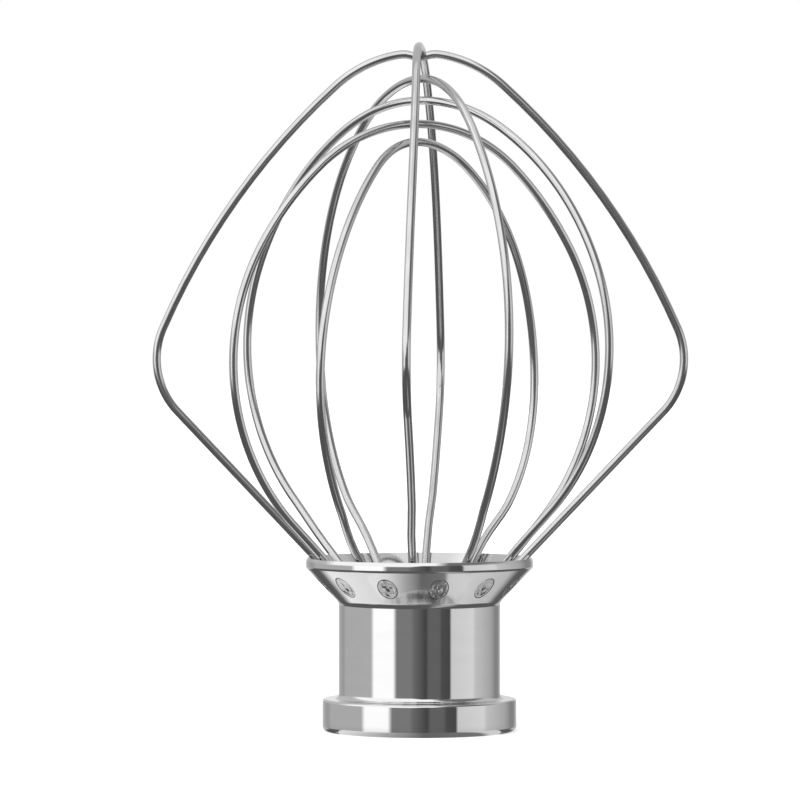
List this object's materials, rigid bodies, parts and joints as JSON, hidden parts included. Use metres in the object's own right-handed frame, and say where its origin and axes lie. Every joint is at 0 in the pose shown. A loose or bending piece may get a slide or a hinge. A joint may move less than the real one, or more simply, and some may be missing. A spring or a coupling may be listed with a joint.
{
  "type": "wire whip",
  "caption": "Polished stainless steel wire whip for a stand mixer: crossed wire loops rising from a flared hub with a flange and a bayonet drive socket.",
  "frame": {"origin": "centre of the hub's flat underside", "axes": "+Z along the hub's axis, from the flange towards the crown of the wire loops; X lies in the plane of the lower of the two outermost loops"},
  "size_m": [0.1286, 0.1286, 0.165],
  "materials": {
    "polished_steel": "mirror-polished stainless steel, turned",
    "drawn_wire": "bright drawn stainless wire with fine lengthwise draw lines",
    "machined_steel": "satin turned stainless steel with fine tool rings",
    "pin_steel": "upset stainless pin head, ground flush, with a centre pit"
  },
  "bodies": {
    "root": {"hub_shell": "polished_steel", "clamp_ring": "machined_steel", "cap_plate": "machined_steel", "drive_socket": "machined_steel", "base_ring": "machined_steel", "wire_loop_outer_top": "drawn_wire", "wire_loop_outer": "drawn_wire", "wire_loop_second": "drawn_wire", "wire_loop_third": "drawn_wire", "wire_loop_fourth": "drawn_wire", "wire_loop_inner": "drawn_wire", "clamp_pin_01": "pin_steel", "clamp_pin_02": "pin_steel", "clamp_pin_03": "pin_steel", "clamp_pin_04": "pin_steel", "clamp_pin_05": "pin_steel", "clamp_pin_06": "pin_steel", "clamp_pin_07": "pin_steel", "clamp_pin_08": "pin_steel", "clamp_pin_09": "pin_steel", "clamp_pin_10": "pin_steel", "clamp_pin_11": "pin_steel", "clamp_pin_12": "pin_steel"}
  },
  "joints": []
}
